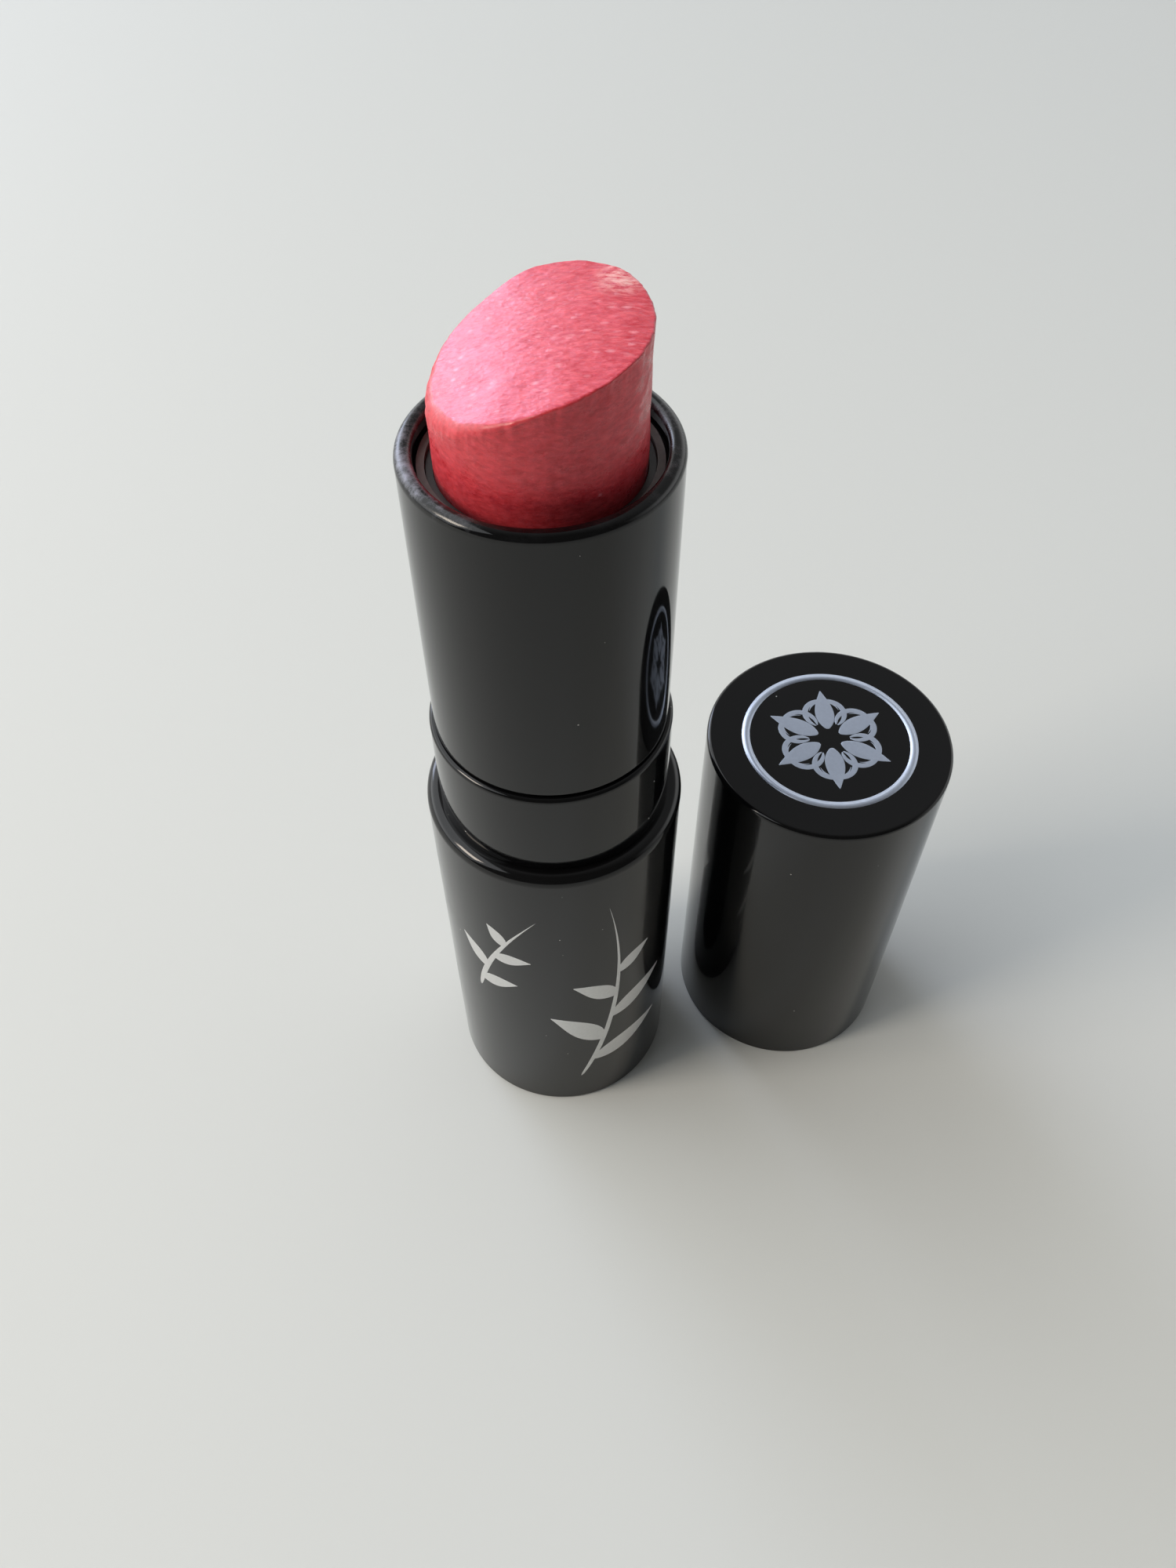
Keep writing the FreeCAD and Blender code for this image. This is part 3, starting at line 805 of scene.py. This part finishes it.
def sprig(start, angle, length, bend, sizes, leaf_width, mirror=1):
    """A stem and its leaves as flat grids.

    The leaves start at even shares of the stem, on alternate sides, and point OFF_STEM degrees
    off it. Each has its own length, and its width follows the root of that length.
    """
    grids = [blade(start, angle, length, STEM_WIDTH, bend * mirror, swell=0.5)]
    for i, (t, size) in enumerate(zip(np.linspace(0.12, 0.62, len(sizes)), sizes)):
        way = math.radians(angle) + math.radians(bend * mirror) * np.linspace(0, t, 40)
        foot = np.array(start) + length * t * np.array([np.cos(way).mean(), np.sin(way).mean()])
        side = mirror * (1 if i % 2 else -1)
        grids.append(blade(foot, math.degrees(way[-1]) + OFF_STEM * side, size,
                           leaf_width * math.sqrt(size), DROOP * side, order=i + 1))
    return grids


# Heading on the base, then the stem's start, angle, length and bend, the leaves' lengths and
# width, and the side of the first leaf.
sprigs = {
    "print_sprig_front": (-66, (-2.6, 4.2), 68, 28.5, 34, (7.6, 7.0, 6.4, 5.0, 3.8), 0.47, 1),
    "print_twig_front": (-131, (-0.6, 17.5), 80, 15.0, -26, (3.8, 3.9, 3.4, 2.8), 0.42, 1),
    "print_sprig_left": (-216, (4.4, 3.4), 104, 30.0, 30, (6.8, 7.2, 6.0, 5.2, 4.0), 0.46, -1),
    "print_sprig_back": (52, (-1.8, 4.6), 88, 27.0, -34, (7.4, 6.6, 6.0, 4.6), 0.47, 1),
}
for name, (heading, start, angle, length, bend, sizes, wide, mirror) in sprigs.items():
    flat = sprig(start, angle, length, bend, sizes, wide, mirror)
    dress(piece_from(name, [on_sleeve(grid, heading) for grid in flat]), ink, "base")

# %% [markdown]
# The cap's end has a plain ring with a rosette of six leaves inside it, and a curled tendril
# between each two. It is a common ornament, and it reads the same from every side.

# %% Print the ring and the rosette on the cap's end
RING_OUT, RING_WIDE = 6.8, 0.62
ring_in, ink_foot = RING_OUT - RING_WIDE, cap_z - INK - DEPTH
ring_outline = np.array([(RING_OUT, cap_z), (ring_in, cap_z), (ring_in, ink_foot),
                         (RING_OUT, ink_foot), (RING_OUT, cap_z)])
print_ring = piece_from("print_ring", [turned(ring_outline, cap_middle)])

LEAF = ((0.9, 0.0), 0, 4.1, 0.80)            # start, angle, length and half width
CURL_START, CURL_LENGTH, CURL_WIDTH = (1.5, 0.0), 5.6, 0.24
CURL_ANGLE, CURL_BEND = 35, 235
rosette = []
for i in range(6):
    rosette.append(on_cap_end(blade(*LEAF, order=1), 60 * i + 30))
    for order, side in ((2, 1), (3, -1)):
        curl = blade(CURL_START, CURL_ANGLE * side, CURL_LENGTH, CURL_WIDTH,
                     -CURL_BEND * side, swell=0.7, order=order)
        rosette.append(on_cap_end(curl, 60 * i))
print_rosette = piece_from("print_rosette", rosette)
dress(print_ring, ink_with_painted_cool_reflection, "cap")
dress(print_rosette, ink_with_painted_cool_reflection, "cap")

# %% [markdown]
# ## The works inside
# What the shells hide keeps its CAD shape and gets a plain moulded or metal finish. Only the
# rims of the fork and of the cup show, as rings between the lip and the wax. They are natural
# grey-brown acetal, which is slippery and slightly waxy, and wax has been smeared on them.

# %% Finishes of the mechanism
def moulded(name, colour, other, rough, grain_size):
    """A moulded plastic: two close tones in a fine grain, with one roughness."""
    made, tree, shader, place = new_material(name)
    grain = add(tree, "ShaderNodeTexNoise", {},
                {"Vector": place, "Scale": per_metre(grain_size), "Detail": 3.0})
    tone = add(tree, "ShaderNodeMix", {"data_type": "RGBA"},
               {0: grain.outputs["Fac"], 6: linear(colour), 7: linear(other)})
    relief = add(tree, "ShaderNodeBump", {}, {"Height": grain.outputs["Fac"],
                                              "Strength": 0.3, "Distance": 0.01 * MM})
    tree.links.new(tone.outputs[2], shader.inputs["Base Color"])
    tree.links.new(relief.outputs["Normal"], shader.inputs["Normal"])
    shader.inputs["Roughness"].default_value = rough
    return made


acetal = moulded("moulded acetal, grey brown", "#4b4340", "#6f645e", 0.34, 0.5)
cup_plastic = moulded("moulded acetal, dark", "#2a2322", "#372e2c", 0.35, 0.6)
sleeve_plastic = moulded("moulded polystyrene, black", "#151516", "#1d1d1e", 0.4, 0.6)
inner_plastic = moulded("moulded polypropylene, black", "#19191a", "#222223", 0.45, 0.8)
silicone = moulded("silicone rubber, red brown", "#7a3b2e", "#8a4636", 0.55, 0.5)

steel, tree, shader, place = new_material("turned steel, zinc plated")
lathe_marks = add(tree, "ShaderNodeTexWave", {"wave_type": "RINGS", "rings_direction": "Z"},
                  {"Vector": place, "Scale": per_metre(0.4), "Distortion": 0.4})
relief = add(tree, "ShaderNodeBump", {}, {"Height": lathe_marks.outputs["Fac"],
                                          "Strength": 0.2, "Distance": 0.01 * MM})
tree.links.new(relief.outputs["Normal"], shader.inputs["Normal"])
shader.inputs["Base Color"].default_value = linear("#b4b6b8")
shader.inputs["Metallic"].default_value = 1.0
shader.inputs["Roughness"].default_value = 0.32

inside = {
    "bottom_plate": gloss_abs, "base_insert": inner_plastic, "cap_liner": inner_plastic,
    "base_weight": steel, "brake_ring": silicone, "inner_fork": acetal,
    "bullet_cup": cup_plastic, "spiral_sleeve": sleeve_plastic,
}
for node, finish in inside.items():
    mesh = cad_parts[node].data
    mesh.materials.clear()
    mesh.materials.append(finish)
print("finished", len(inside), "hidden pieces")

# %% [markdown]
# ## The floor and the light
# The case stands on a plain pale table. A wide soft window on the left lights it all, and a
# smaller bluish one further behind gives the wax its sheen. A small warm lamp on the left sets a
# highlight on each rounded edge. The surroundings are pale near the table's level and dim
# overhead, so that the flat end of the cap, which faces up, stays black.

# %% Floor
floor_mesh = bpy.data.meshes.new("floor")
FLOOR_HALF = 3.0
floor_mesh.from_pydata([(-FLOOR_HALF, -FLOOR_HALF, 0), (FLOOR_HALF, -FLOOR_HALF, 0),
                        (FLOOR_HALF, FLOOR_HALF, 0), (-FLOOR_HALF, FLOOR_HALF, 0)],
                       [], [(0, 1, 2, 3)])
floor = bpy.data.objects.new("floor", floor_mesh)
bpy.context.scene.collection.objects.link(floor)
floor_finish, _, shader, _ = new_material("pale honed stone")
shader.inputs["Base Color"].default_value = linear("#dcdedb")
shader.inputs["Roughness"].default_value = 0.7
shader.inputs["Specular IOR Level"].default_value = 0.2
floor_mesh.materials.append(floor_finish)

# %% Lamps and surroundings
TARGET = Vector((0.008, 0.0, 0.045))


def softbox(name, toward, distance, width, height, radiance, colour):
    """A rectangular area lamp that faces the case, with its brightness given as radiance.

    Its power is pi times its area times the radiance, for a lamp that shines on one side.
    """
    data = bpy.data.lights.new(name, "AREA")
    data.shape = "RECTANGLE"
    data.size, data.size_y = width, height
    data.energy = math.pi * width * height * radiance
    data.color = linear(colour)[:3]
    lamp = bpy.data.objects.new(name, data)
    bpy.context.scene.collection.objects.link(lamp)
    out = Vector(toward).normalized()
    lamp.matrix_world = (Matrix.Translation(TARGET + out * distance)
                         @ out.to_track_quat("Z", "Y").to_matrix().to_4x4())
    print(f"{name}: {data.energy:.2f} W")


softbox("window", (-0.772, 0.222, 0.596), 1.6, 3.0, 1.8, 1.80, "#f5f9fc")
softbox("far window", (-0.562, 0.774, 0.292), 1.6, 0.60, 0.58, 5.4, "#d3dfff")
softbox("lamp", (-0.81, -0.21, 0.55), 0.7, 0.22, 0.19, 16.0, "#fff1df")

BEHIND = (0.10, 0.995, 0.0)              # unit direction from the case to the far side
PALE = (1.3, 1.32, 1.32, 1.0)            # the bright far side near the table's level

world = bpy.data.worlds.new("surroundings")
bpy.context.scene.world = world
world.use_nodes = True
tree = world.node_tree
sky = next(n for n in tree.nodes if n.type == "BACKGROUND")
direction = add(tree, "ShaderNodeTexCoord").outputs["Generated"]
rise = add(tree, "ShaderNodeSeparateXYZ", {}, {"Vector": direction})
low = add(tree, "ShaderNodeMapRange", {}, {"Value": rise.outputs["Z"], "From Min": 0.50,
                                           "From Max": 0.30})
behind = add(tree, "ShaderNodeVectorMath", {"operation": "DOT_PRODUCT"},
             {0: direction, 1: BEHIND})
far_side = add(tree, "ShaderNodeMapRange", {},
               {"Value": behind.outputs["Value"], "From Min": -0.40, "From Max": 0.30})
pale = add(tree, "ShaderNodeMath", {"operation": "MULTIPLY"},
           {0: low.outputs[0], 1: far_side.outputs[0]})
dim = add(tree, "ShaderNodeMix", {"data_type": "RGBA"},
          {0: far_side.outputs[0], 6: linear("#525251"), 7: linear("#98999a")})
shade = add(tree, "ShaderNodeMix", {"data_type": "RGBA"},
            {0: pale.outputs[0], 6: dim.outputs[2], 7: PALE})
tree.links.new(shade.outputs[2], sky.inputs["Color"])
sky.inputs["Strength"].default_value = 1.0

bpy.context.scene.view_settings.view_transform = "Standard"
